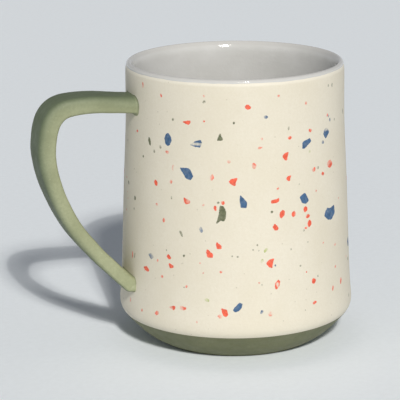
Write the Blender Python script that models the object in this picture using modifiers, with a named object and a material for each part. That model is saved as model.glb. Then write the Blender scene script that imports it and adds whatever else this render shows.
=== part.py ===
"""Slip-cast stoneware mug with terrazzo chips: wall, base, handle, slip joints, glaze and inlaid chips.

The origin is the centre of the flat foot, +Z is up, and the handle lies on -X. Azimuths are degrees round
from the front (-Y), positive towards +X. Outlines are in millimetres, as (radius, height) pairs.
"""

import math

import bmesh
import bpy
from mathutils import Matrix, Vector

MM = 0.001

# Driving dimensions, in millimetres
HEIGHT = 104.0
RIM_RADIUS = 40.0
SHOULDER_RADIUS = 43.4
SEAM_RADIUS = 42.35
SEAM_HEIGHT = 10.9
FOOT_RADIUS = 30.0
WALL_THICKNESS = 3.2
FLOOR_HEIGHT = 7.0
GLAZE_THICKNESS = 0.5
GAP = 0.3
TONGUE_TOP = 14.2
TONGUE_RADIUS = 40.9
CLAY_INSET = WALL_THICKNESS - GLAZE_THICKNESS - GAP
TURNED_STEPS = 64

# The handle strap: its width runs along Y, its thickness lies in the handle's plane
STRAP_WIDTH = 14.4
STRAP_OUTER_CORNER = 2.3
STRAP_INNER_CORNER = 1.2
STRAP_STEPS = 3
SLIP_THICKNESS = 1.0
SLIP_BEAD = 0.5
UPPER_JOINT_SPAN = (78.0, 100.0)
LOWER_JOINT_SPAN = (12.0, 38.0)

CHIP_DEPTH = 1.1
CUTTER_REACH = 2.0

# The wall's outside, from just under the rim's rounding down to the seam
WALL_OUTLINE = [
    (RIM_RADIUS, 101.0),
    (40.2, 83.0),
    (41.3, 59.0),
    (41.95, 42.0),
    (42.6, 26.0),
    (43.05, 19.0),
    (SHOULDER_RADIUS, 15.0),
    (43.2, 12.6),
    (SEAM_RADIUS, SEAM_HEIGHT),
]

# The base's outside, from the seam down to the edge of the flat foot
BASE_OUTLINE = [
    (SEAM_RADIUS - 0.15, SEAM_HEIGHT - GAP),
    (39.7, 7.8),
    (36.7, 4.7),
    (33.4, 2.1),
    (30.8, 0.5),
    (FOOT_RADIUS, 0.0),
]

# The cup's inside as the glaze leaves it, from the floor's centre up to the straight wall
INSIDE_OUTLINE = [
    (25.0, FLOOR_HEIGHT),
    (32.0, 8.2),
    (36.4, 11.4),
    (39.0, 17.0),
    (39.6, 26.0),
]

# The strap's centre line: radius from the mug's axis, height, and the strap's thickness there
STRAP_PATH = [
    (36.0, 90.5, 5.8),
    (44.0, 91.35, 5.9),
    (54.5, 92.25, 6.1),
    (61.55, 92.15, 6.35),
    (67.4, 90.75, 6.7),
    (71.05, 86.9, 6.75),
    (72.75, 80.5, 6.6),
    (72.95, 73.45, 6.45),
    (70.95, 63.9, 6.0),
    (66.35, 52.65, 5.6),
    (60.4, 43.15, 5.5),
    (49.3, 30.6, 5.3),
    (38.5, 22.1, 5.2),
]

# Chip outlines, clockwise, drawn in a box from -1 to 1 and seen from outside
CHIP_SHAPES = {
    "lozenge": [
        (0, 1), (0.75, 0.5), (1, -0.1), (0.5, -0.75), (0, -1), (-0.75, -0.7), (-1, 0.1), (-0.6, 0.75),
    ],
    "shard": [(-1, 0.95), (0.45, 1), (1, -0.25), (0.65, -1), (0, -0.8), (-0.55, 0.15)],
    "wedge": [(-0.8, 1), (1, -0.15), (0.85, -1), (-0.75, -1), (-1, 0.4)],
    "slab": [(-0.9, 0.5), (0.7, 1), (1, 0.3), (-0.6, -1), (-1, -0.8)],
    "kite": [(-0.1, 1), (0.55, 0.75), (1, 0.05), (-0.25, -1), (-1, 0), (-0.7, 0.7)],
    "block": [(-1, 0.35), (0.15, 1), (1, -0.5), (0.4, -1), (-0.55, -0.7)],
    "crown": [(-0.7, 0.7), (0.15, 0.75), (0.9, 1), (1, -0.2), (0.3, -1), (-0.45, -0.8), (-1, -0.1)],
    "bean": [
        (0.35, 1), (1, 0.75), (0.85, 0), (0.2, -0.8), (-0.55, -1), (-1, -0.6), (-0.6, 0), (-0.1, 0.5),
    ],
    "tent": [(0, 1), (1, -0.9), (-0.95, -1)],
    "comma": [
        (-0.2, 1), (0.5, 0.95), (1, 0.5), (1, -0.2), (0.65, -0.65), (-0.1, -0.55), (-1, -1), (-0.45, 0),
    ],
    "drop": [(-1, 0.05), (0.15, 0.75), (0.85, 0.8), (1, 0.1), (0.55, -1), (-0.2, -0.65)],
    "chunk": [(-1, 0.1), (-0.3, 0.8), (1, 1), (0.6, -0.2), (0.5, -1), (-0.35, -0.7)],
    "bar": [(-1, 0.6), (0.3, 0.7), (1, 1), (0.9, -0.2), (0.3, -1), (-0.95, -0.9)],
    "sliver": [(-0.3, 1), (0.6, 0.75), (1, -0.1), (0.35, -1), (-0.5, -0.7), (-1, 0.2)],
}

# The chips of the front half: colour, azimuth, height, width, length, tilt and shape
FRONT_CHIPS = [
    ("blue", -56, 81.5, 3.2, 4.8, 0, "lozenge"),
    ("blue", -40, 81, 4.8, 2.8, 12, "drop"),
    ("blue", -45, 70, 5.4, 4.2, 0, "shard"),
    ("blue", -16, 61, 2.6, 4.6, 0, "wedge"),
    ("blue", 19, 79.5, 4.2, 3.5, 0, "slab"),
    ("blue", 34, 81.5, 3.7, 4.0, 0, "kite"),
    ("blue", 16.5, 60, 4.1, 4.2, 0, "block"),
    ("blue", 35, 52, 7.0, 5.0, 0, "crown"),
    ("blue", -19, 22.5, 3.5, 3.5, 0, "bean"),
    ("blue", 61.5, 36.5, 4.0, 4.0, 0, "block"),
    ("olive", -27.5, 84, 2.3, 2.8, 0, "tent"),
    ("olive", -27, 56, 3.5, 6.8, 0, "comma"),
    ("olive", -69, 79.5, 1.4, 3.2, 15, "sliver"),
    ("coral", -45, 88.5, 3.1, 1.7, 0, "drop"),
    ("coral", -13.5, 94.5, 2.3, 1.7, -20, "lozenge"),
    ("coral", -21, 68, 3.1, 2.8, 0, "chunk"),
    ("coral", 6, 76, 2.5, 3.1, 0, "chunk"),
    ("coral", 36.5, 70, 3.4, 2.9, -15, "lozenge"),
    ("coral", 0, 60.5, 3.2, 1.5, 4, "bar"),
    ("coral", 3.5, 55.5, 2.1, 3.2, -25, "sliver"),
    ("coral", 10, 55, 1.8, 2.2, -15, "lozenge"),
    ("coral", 17, 56, 2.0, 2.1, -30, "sliver"),
    ("coral", 19.5, 50.5, 1.9, 2.6, -10, "lozenge"),
    ("coral", 0, 51, 2.1, 2.7, 20, "block"),
    ("coral", -3, 38, 3.0, 3.4, 0, "chunk"),
    ("coral", 0.5, 30, 1.8, 3.7, -22, "sliver"),
    ("coral", -32.5, 42, 2.5, 3.0, 0, "wedge"),
    ("coral", -28, 45, 2.0, 2.4, 0, "wedge"),
    ("coral", -25.5, 20.5, 3.1, 2.7, -15, "shard"),
    ("coral", -44.5, 60.5, 2.3, 2.5, 15, "wedge"),
    ("coral", -69.5, 32.5, 3.4, 1.9, 0, "block"),
    ("coral", -52, 20.5, 2.7, 1.7, 0, "drop"),
    ("coral", 21.5, 29, 1.9, 2.1, 0, "lozenge"),
    ("coral", -63.5, 65, 1.7, 2.4, 15, "sliver"),
    ("coral", -54.5, 39, 1.8, 2.0, 20, "block"),
    ("coral", -53, 36, 2.0, 1.9, 10, "wedge"),
    ("coral", -46, 21, 2.5, 1.5, -8, "bar"),
    ("coral", 7.5, 68, 2.0, 2.1, 0, "chunk"),
]

# The chips of the back half follow a rule: evenly spread azimuths, heights that never repeat
BACK_CHIP_COUNT = 13
BACK_CHIP_START = 78.0
BACK_CHIP_STEP = 13.5
BACK_CHIP_LOW = 20.0
BACK_CHIP_SPAN = 74.0
GOLDEN_SHARE = 0.618
BACK_CHIP_COLOURS = ["coral", "blue", "coral", "olive", "coral"]
BACK_CHIP_SIZES = [(3.0, 3.3), (4.6, 4.0), (2.4, 2.8), (3.0, 4.8), (2.8, 2.2), (3.8, 4.4)]
BACK_CHIP_SHAPES = ["chunk", "block", "lozenge", "comma", "drop", "shard", "wedge"]

# Colour (linear), roughness and metallic value of each material
FINISHES = {
    "cream_stoneware": ((0.84, 0.77, 0.63), 0.62),
    "sage_stoneware": ((0.30, 0.33, 0.20), 0.60),
    "grey_glaze": ((0.55, 0.55, 0.53), 0.12),
    "slip": ((0.60, 0.58, 0.44), 0.65),
    "blue_clay": ((0.05, 0.12, 0.26), 0.60),
    "coral_clay": ((0.85, 0.16, 0.09), 0.60),
    "olive_clay": ((0.16, 0.17, 0.10), 0.60),
}


def clear_scene():
    """Removes whatever the scene holds."""
    for thing in list(bpy.data.objects):
        bpy.data.objects.remove(thing, do_unlink=True)


def new_collection(name):
    """A collection linked to the scene."""
    group = bpy.data.collections.new(name)
    bpy.context.scene.collection.children.link(group)
    return group


def make_material(name):
    """One Principled material from the FINISHES table."""
    colour, roughness = FINISHES[name]
    material = bpy.data.materials.new(name)
    material.use_nodes = True
    shader = material.node_tree.nodes["Principled BSDF"]
    shader.inputs["Base Color"].default_value = (*colour, 1.0)
    shader.inputs["Roughness"].default_value = roughness
    shader.inputs["Metallic"].default_value = 0.0
    material.diffuse_color = (*colour, 1.0)
    return material


def radius_at(height):
    """The wall's outer radius at a height, in millimetres."""
    for (upper_r, upper_z), (lower_r, lower_z) in zip(WALL_OUTLINE, WALL_OUTLINE[1:]):
        if height >= lower_z:
            share = min(1.0, (height - lower_z) / (upper_z - lower_z))
            return lower_r + (upper_r - lower_r) * share
    return SEAM_RADIUS


def turned(name, profile, closed, group):
    """A profile of (radius, height) pairs turned round Z; it runs down its outer side."""
    mesh = bpy.data.meshes.new(name)
    vertices = [(radius * MM, 0.0, height * MM) for radius, height in profile]
    edges = [(i, i + 1) for i in range(len(profile) - 1)]
    if closed:
        edges.append((len(profile) - 1, 0))
    mesh.from_pydata(vertices, edges, [])
    body = bpy.data.objects.new(name, mesh)
    group.objects.link(body)
    screw = body.modifiers.new("Turn", "SCREW")
    screw.axis = "Z"
    screw.steps = TURNED_STEPS
    screw.render_steps = TURNED_STEPS
    screw.use_merge_vertices = True
    screw.merge_threshold = 0.00001
    return body


def curve_to_mesh(curve_object, group):
    """The curve as a closed mesh object; the curve is removed."""
    name = curve_object.name
    bpy.context.view_layer.update()
    evaluated = curve_object.evaluated_get(bpy.context.evaluated_depsgraph_get())
    mesh = bpy.data.meshes.new_from_object(evaluated)
    shape = bmesh.new()
    shape.from_mesh(mesh)
    bmesh.ops.remove_doubles(shape, verts=shape.verts, dist=0.000005)
    bmesh.ops.recalc_face_normals(shape, faces=shape.faces)
    shape.to_mesh(mesh)
    shape.free()
    solid = bpy.data.objects.new(name, mesh)
    solid.matrix_world = curve_object.matrix_world
    bpy.data.objects.remove(curve_object, do_unlink=True)
    solid.name = name
    group.objects.link(solid)
    return solid


def flat_prism(name, outline, low, high, place, group):
    """A flat outline in millimetres given thickness from low to high along its own Z, then placed."""
    curve = bpy.data.curves.new(name, "CURVE")
    curve.dimensions = "2D"
    curve.fill_mode = "BOTH"
    curve.extrude = (high - low) / 2 * MM
    spline = curve.splines.new("POLY")
    spline.points.add(len(outline) - 1)
    spline.use_cyclic_u = True
    for point, (x, y) in zip(spline.points, outline):
        point.co = (x * MM, y * MM, 0.0, 1.0)
    holder = bpy.data.objects.new(name, curve)
    holder.matrix_world = place @ Matrix.Translation((0.0, 0.0, (high + low) / 2 * MM))
    group.objects.link(holder)
    return curve_to_mesh(holder, group)


def boolean(body, operation, cutter):
    """Adds an exact Boolean of body with one object or with a collection."""
    modifier = body.modifiers.new(operation.title(), "BOOLEAN")
    modifier.operation = operation
    modifier.solver = "EXACT"
    if isinstance(cutter, bpy.types.Collection):
        modifier.operand_type = "COLLECTION"
        modifier.collection = cutter
    else:
        modifier.object = cutter


def hide_as_cutter(body):
    """Marks a helper body, so that it isn't part of the model."""
    body.hide_render = True
    body.display_type = "WIRE"


def finish(body, material):
    """Gives a part its material and smooth shading with crisp edges."""
    body.data.materials.clear()
    body.data.materials.append(material)
    body.data.shade_smooth()
    body.data.set_sharp_from_angle(angle=math.radians(35))


def turned_envelope(name, offset, cutters):
    """A solid of the wall's outer shape, grown by an offset."""
    profile = [(0.0, HEIGHT)]
    profile.append((WALL_OUTLINE[0][0] + offset, HEIGHT))
    profile.extend((radius + offset, height) for radius, height in WALL_OUTLINE)
    profile.append((0.0, SEAM_HEIGHT))
    envelope = turned(name, profile, False, cutters)
    hide_as_cutter(envelope)
    return envelope


def clay_inside(height):
    """The clay's inner radius behind the glaze, on the straight part of the wall."""
    return radius_at(height) - CLAY_INSET


def make_wall(parts, material):
    """The cream wall: rounded rim, tapered side, full shoulder and a rebate for the base's tongue."""
    profile = [(38.5, 103.2), (39.3, 103.0), (39.85, 102.5)]
    profile.extend(WALL_OUTLINE)
    profile.append((TONGUE_RADIUS + GAP, SEAM_HEIGHT))
    profile.append((TONGUE_RADIUS + GAP, TONGUE_TOP + GAP))
    profile.append((39.35, TONGUE_TOP + GAP))
    profile.append((clay_inside(19.0), 19.0))
    profile.extend((clay_inside(height), height) for height in (42.0, 62.0, 83.0, 101.0))
    profile.append((37.8, 102.7))
    wall = turned("mug_wall", profile, True, parts)
    finish(wall, material)
    return wall


def make_base(parts, material):
    """The sage base: a cup with a flat foot, a floor and a tongue that laps inside the wall."""
    floor = FLOOR_HEIGHT - GLAZE_THICKNESS - GAP
    profile = [
        (0.0, floor),
        (24.8, floor),
        (32.2, 7.3),
        (37.1, 10.8),
        (39.2, TONGUE_TOP),
        (TONGUE_RADIUS, TONGUE_TOP),
        (TONGUE_RADIUS, SEAM_HEIGHT - GAP),
    ]
    profile.extend(BASE_OUTLINE)
    profile.append((0.0, 0.0))
    base = turned("base", profile, False, parts)
    finish(base, material)


def make_glaze(parts, material):
    """The glaze: a thin skin over the floor, the inside of the wall and the top of the rim."""
    inside = [(0.0, FLOOR_HEIGHT)]
    inside.extend(INSIDE_OUTLINE)
    inside.extend((radius_at(height) - WALL_THICKNESS, height) for height in (42.0, 62.0, 83.0, 101.0))
    rim = [(37.2, 102.9), (37.8, 103.75), (38.5, HEIGHT), (39.2, 103.8), (39.65, 103.3)]
    under_rim = [(38.5, 103.5), (37.7, 103.0)]
    clay_side = GLAZE_THICKNESS - WALL_THICKNESS
    outside = [(radius_at(height) + clay_side, height) for height in (101.0, 83.0, 62.0, 42.0)]
    outside.extend([(39.95, 26.0), (39.4, 17.2), (36.75, 11.0), (32.1, 7.7)])
    outside.append((25.0, FLOOR_HEIGHT - GLAZE_THICKNESS))
    outside.append((0.0, FLOOR_HEIGHT - GLAZE_THICKNESS))
    glaze = turned("interior_glaze", inside + rim + under_rim + outside, False, parts)
    finish(glaze, material)


def strap_stations():
    """Points (radius, height, thickness) along a smooth curve through the strap's path."""
    knots = [Vector(knot) for knot in STRAP_PATH]
    padded = [2 * knots[0] - knots[1]] + knots + [2 * knots[-1] - knots[-2]]
    stations = []
    for before, start, end, after in zip(padded, padded[1:], padded[2:], padded[3:]):
        for step in range(STRAP_STEPS):
            t = step / STRAP_STEPS
            leave = (end - before) / 2
            arrive = (after - start) / 2
            cubic = 2 * start - 2 * end + leave + arrive
            square = 3 * end - 3 * start - 2 * leave - arrive
            stations.append(start + leave * t + square * t**2 + cubic * t**3)
    stations.append(knots[-1])
    return stations


def strap_section(half_thickness, half_width, growth):
    """The strap's section, flat with softer corners outside, as (outwards, sideways) from its centre."""
    outer = STRAP_OUTER_CORNER + growth
    inner = STRAP_INNER_CORNER + growth
    section = [(half_thickness, 0.0)]
    for start, radius in ((0, outer), (90, inner), (180, inner), (270, outer)):
        middle = math.radians(start + 45)
        if start == 180:
            section.append((-half_thickness, 0.0))
        for turn in (0, 45, 90):
            angle = math.radians(start + turn)
            outwards = math.copysign(half_thickness - radius, math.cos(middle)) + radius * math.cos(angle)
            sideways = math.copysign(half_width - radius, math.sin(middle)) + radius * math.sin(angle)
            section.append((outwards, sideways))
    return section


def strap_ring(before, station, after, growth):
    """The section at one station, square to the centre line."""
    tangent = Vector((before.x - after.x, 0.0, after.y - before.y)).normalized()
    normal = Vector((tangent.z, 0.0, -tangent.x))
    centre = Vector((-station.x, 0.0, station.y))
    section = strap_section(station.z / 2 + growth, STRAP_WIDTH / 2 + growth, growth)
    return [(centre + normal * out + Vector((0.0, side, 0.0))) * MM for out, side in section]


def strap_loft(name, growth, group):
    """The strap as a loft through its sections, grown all round by growth millimetres."""
    stations = strap_stations()
    before = [stations[0]] + stations[:-1]
    after = stations[1:] + [stations[-1]]
    shape = bmesh.new()
    rings = []
    for neighbours in zip(before, stations, after):
        rings.append([shape.verts.new(point) for point in strap_ring(*neighbours, growth)])
    sides = len(rings[0])
    for ring, following in zip(rings, rings[1:]):
        for i in range(sides):
            j = (i + 1) % sides
            shape.faces.new((ring[i], ring[j], following[j], following[i]))
    shape.faces.new(rings[0])
    shape.faces.new(rings[-1])
    bmesh.ops.recalc_face_normals(shape, faces=shape.faces)
    mesh = bpy.data.meshes.new(name)
    shape.to_mesh(mesh)
    shape.free()
    strap = bpy.data.objects.new(name, mesh)
    group.objects.link(strap)
    return strap


def make_handle(parts, cutters, material):
    """The sage strap, cut to the wall's shape at both ends with room for the slip."""
    handle = strap_loft("handle", 0.0, parts)
    boolean(handle, "DIFFERENCE", turned_envelope("handle_seat", SLIP_THICKNESS + 2 * GAP, cutters))
    finish(handle, material)


def make_slip_joint(name, span, parts, cutters, material):
    """A pad of slip between the wall and one end of the handle, a little wider than the strap."""
    low, high = span
    inner = GAP
    outer = GAP + SLIP_THICKNESS
    heights = [high] + [height for _, height in WALL_OUTLINE if low < height < high] + [low]
    profile = [(radius_at(height) + outer, height) for height in heights]
    profile.extend((radius_at(height) + inner, height) for height in reversed(heights))
    shell = turned(name + "_shell", profile, True, cutters)
    hide_as_cutter(shell)
    pad = strap_loft(name, SLIP_BEAD, parts)
    boolean(pad, "INTERSECT", shell)
    finish(pad, material)


def chip_outline(shape, width, length, tilt):
    """A chip's outline in millimetres, clockwise."""
    turn = Matrix.Rotation(math.radians(tilt), 2)
    corners = [Vector((x * width / 2, y * length / 2)) for x, y in CHIP_SHAPES[shape]]
    return [turn @ corner for corner in corners]


def grown_outline(outline, distance):
    """The outline with every side moved outwards by a distance; its corners run clockwise."""
    grown = []
    for i, corner in enumerate(outline):
        before = (corner - outline[i - 1]).normalized()
        after = (outline[(i + 1) % len(outline)] - corner).normalized()
        normal_before = Vector((-before.y, before.x))
        normal_after = Vector((-after.y, after.x))
        middle = (normal_before + normal_after).normalized()
        reach = distance / max(0.5, middle.dot(normal_after))
        grown.append(corner + middle * reach)
    return grown


def chip_place(azimuth, height):
    """A frame on the wall's surface: X to the right, Y up and Z outwards, seen from outside."""
    angle = math.radians(azimuth)
    outward = Vector((math.sin(angle), -math.cos(angle), 0.0))
    right = Vector((math.cos(angle), math.sin(angle), 0.0))
    centre = outward * radius_at(height) * MM + Vector((0.0, 0.0, height * MM))
    place = Matrix((right, Vector((0.0, 0.0, 1.0)), outward)).transposed().to_4x4()
    place.translation = centre
    return place


def back_chips():
    """The back half's chips, by the rule given with their constants."""
    chips = []
    for i in range(BACK_CHIP_COUNT):
        width, length = BACK_CHIP_SIZES[i % len(BACK_CHIP_SIZES)]
        chips.append(
            (
                BACK_CHIP_COLOURS[i % len(BACK_CHIP_COLOURS)],
                BACK_CHIP_START + BACK_CHIP_STEP * i,
                BACK_CHIP_LOW + BACK_CHIP_SPAN * ((0.3 + GOLDEN_SHARE * i) % 1.0),
                width,
                length,
                37 * i % 90 - 45,
                BACK_CHIP_SHAPES[i % len(BACK_CHIP_SHAPES)],
            )
        )
    return chips


def make_chips(wall, parts, cutters, materials):
    """Each chip as its own solid, flush with the wall, in a pocket that is a gap larger."""
    surface = turned_envelope("chip_surface", 0.0, cutters)
    pockets = bpy.data.collections.new("pockets")
    cutters.children.link(pockets)
    counts = {}
    for colour, azimuth, height, width, length, tilt, shape in FRONT_CHIPS + back_chips():
        counts[colour] = counts.get(colour, 0) + 1
        name = f"chip_{colour}_{counts[colour]:02d}"
        outline = chip_outline(shape, width, length, tilt)
        place = chip_place(azimuth, height)
        chip = flat_prism(name, outline, -CHIP_DEPTH, CUTTER_REACH, place, parts)
        boolean(chip, "INTERSECT", surface)
        finish(chip, materials[colour + "_clay"])
        grown = grown_outline(outline, GAP)
        pocket = flat_prism(name + "_pocket", grown, -CHIP_DEPTH - GAP, CUTTER_REACH, place, pockets)
        hide_as_cutter(pocket)
    boolean(wall, "DIFFERENCE", pockets)


def main():
    """Builds the whole mug."""
    clear_scene()
    parts = new_collection("stoneware_mug")
    cutters = new_collection("cutters")
    materials = {name: make_material(name) for name in FINISHES}
    wall = make_wall(parts, materials["cream_stoneware"])
    make_base(parts, materials["sage_stoneware"])
    make_glaze(parts, materials["grey_glaze"])
    make_handle(parts, cutters, materials["sage_stoneware"])
    make_slip_joint("upper_slip_joint", UPPER_JOINT_SPAN, parts, cutters, materials["slip"])
    make_slip_joint("lower_slip_joint", LOWER_JOINT_SPAN, parts, cutters, materials["slip"])
    make_chips(wall, parts, cutters, materials)


main()
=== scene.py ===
"""The looks of the slip-cast stoneware mug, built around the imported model.

Lengths are in millimetres until a mesh is made. Azimuths are degrees round from the front (-Y),
positive towards +X; the handle lies on -X.
"""

import math
import random
from bisect import bisect_right

import bmesh
import bpy
from mathutils import Matrix, Vector, noise
from mathutils.geometry import delaunay_2d_cdt


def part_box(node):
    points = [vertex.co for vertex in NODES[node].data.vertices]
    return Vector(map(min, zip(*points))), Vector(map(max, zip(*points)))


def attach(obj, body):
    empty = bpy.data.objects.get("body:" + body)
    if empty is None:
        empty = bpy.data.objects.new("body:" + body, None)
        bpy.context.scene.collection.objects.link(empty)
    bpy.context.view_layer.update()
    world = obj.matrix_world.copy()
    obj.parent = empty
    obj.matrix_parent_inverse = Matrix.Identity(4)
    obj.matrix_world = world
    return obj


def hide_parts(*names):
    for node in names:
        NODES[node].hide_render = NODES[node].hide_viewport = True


MM = 0.001

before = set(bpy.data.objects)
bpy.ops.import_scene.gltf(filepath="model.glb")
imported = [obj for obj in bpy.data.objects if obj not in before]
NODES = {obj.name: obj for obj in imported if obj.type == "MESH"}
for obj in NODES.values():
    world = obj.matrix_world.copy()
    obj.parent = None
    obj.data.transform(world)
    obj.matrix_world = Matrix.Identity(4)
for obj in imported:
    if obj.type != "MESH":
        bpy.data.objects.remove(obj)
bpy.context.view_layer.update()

# ---------------------------------------------------------------- sizes and looks

RING_MINIMUM = 30
JOIN_MINIMUM = 10
TURNED_SEGMENTS = 256
ROW_SPACING = 0.8
GLAZE_FILM = 0.1
GLAZE_START = 102.45
GLAZE_EDGE = 0.3
GLAZE_EDGE_WAVE = 0.2
GLAZE_EDGE_REACH = 3.0
GLAZE_BACK = 0.05
RIM_SLOPE = 0.5
RIM_SLOPE_DEPTH = 4.5
RIM_BLEND = 0.8
INNER_JOIN = 1.2
SEAM_GAP = 0.03
STRAP_SIDES = 88
STRAP_STATIONS = 240
STRAP_OUTER_CORNER = 2.3
STRAP_INNER_CORNER = 1.2
STRAP_DOME = 0.3
STRAP_LEAN = 0.45
STRAP_START_CORNER = 3.3
STRAP_END_CORNER = 1.0
STRAP_END_FLARE = 1.3
STRAP_CLEAR = 2.4
STRAP_REACH = 9
STRAP_DEPTH = 1.2
# Where the parts of the strap's section end, as shares of the way round it: outer face, corner, side, corner
STRAP_SHARES = (0.16, 0.24, 0.28, 0.34)
# Painted shade on the strap's outer face: how far round the section it reaches, how much less it reaches
# lower down, and how soft its edge is
SHADE_EDGE = 0.285
SHADE_EDGE_FALL = 0.04
SHADE_BLEND = 0.12
FILLET_SIDES = 96
UPPER_FILLET = 0.9
LOWER_FILLET = 0.65
FILLET_SINK = 0.35
FILLET_STEPS = 8
CHIP_SINK = 0.3
CHIP_PROUD = 0.03
CHIP_SPREAD = 0.1
CHIP_GRID = 0.4
VEIL_LEAN = 0.3
CRUMB_SEED = 11
FAR_CRUMBS = 78
FAR_CRUMB_GAP = (2.6, 2.8)
DUST_GRAINS = 230

# Camera: lens and place, as an azimuth and a level distance from the axis, a height, and three turns
PHOTO_AZIMUTH = -20.0
CAMERA_LENS = 181.87
CAMERA_DISTANCE = 0.7280
CAMERA_HEIGHT = 0.24044
CAMERA_PITCH = 0.25468
CAMERA_YAW = -0.018017
CAMERA_ROLL = -0.0084496

KEY_AZIMUTH = -8.0
KEY_ELEVATION = 36.0
KEY_STRENGTH = 2.2
KEY_ANGLE = 7.5
GLINT_STRENGTH = 0.8
GLINT_ANGLE = 0.8

# The surround's colours by the height of the direction, from level to straight up
SKY = [
    (0.0, (0.67, 0.69, 0.72)),
    (0.05, (0.57, 0.59, 0.625)),
    (0.3, (0.31, 0.325, 0.35)),
    (0.8, (0.12, 0.127, 0.14)),
]

CREAM = (0.685, 0.637, 0.52)
CREAM_LIGHT = (0.72, 0.677, 0.57)
# A painted highlight on the rim's outer edge
CREAM_PAINTED_HIGHLIGHT = (0.78, 0.74, 0.64)
CREAM_GRAIN = (0.62, 0.56, 0.43)
CREAM_SPECK = (0.30, 0.26, 0.18)
SAGE = (0.276, 0.298, 0.172)
SAGE_LIGHT = (0.330, 0.352, 0.214)
# Multiplied over the strap's outer face as painted shade
SAGE_PAINTED_SHADE = (0.40, 0.47, 0.46)
# The base's sage, a darker copy of the handle's: painted shade for its downward-facing side
SHADED_BASE_SAGE = (0.150, 0.160, 0.082)
SHADED_BASE_SAGE_PALE = (0.182, 0.190, 0.100)
GLAZE = (0.59, 0.59, 0.57)
GLAZE_LIGHT = (0.65, 0.65, 0.635)
# Painted shade lower down inside the mug
GLAZE_DEEP_SHADE = (0.47, 0.47, 0.455)
# Painted shade on the glaze of the rim's top
GLAZE_RIM_SHADE = (0.56, 0.555, 0.535)
GLAZE_MOTE = (0.42, 0.42, 0.40)
BLUE = (0.040, 0.105, 0.215)
CORAL = (0.74, 0.105, 0.052)
LIME = (0.36, 0.42, 0.13)
OLIVE = (0.120, 0.132, 0.070)
FLOOR = (0.87, 0.92, 0.965)
COLOURS = {"blue": BLUE, "coral": CORAL, "lime": LIME, "olive": OLIVE}

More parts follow.
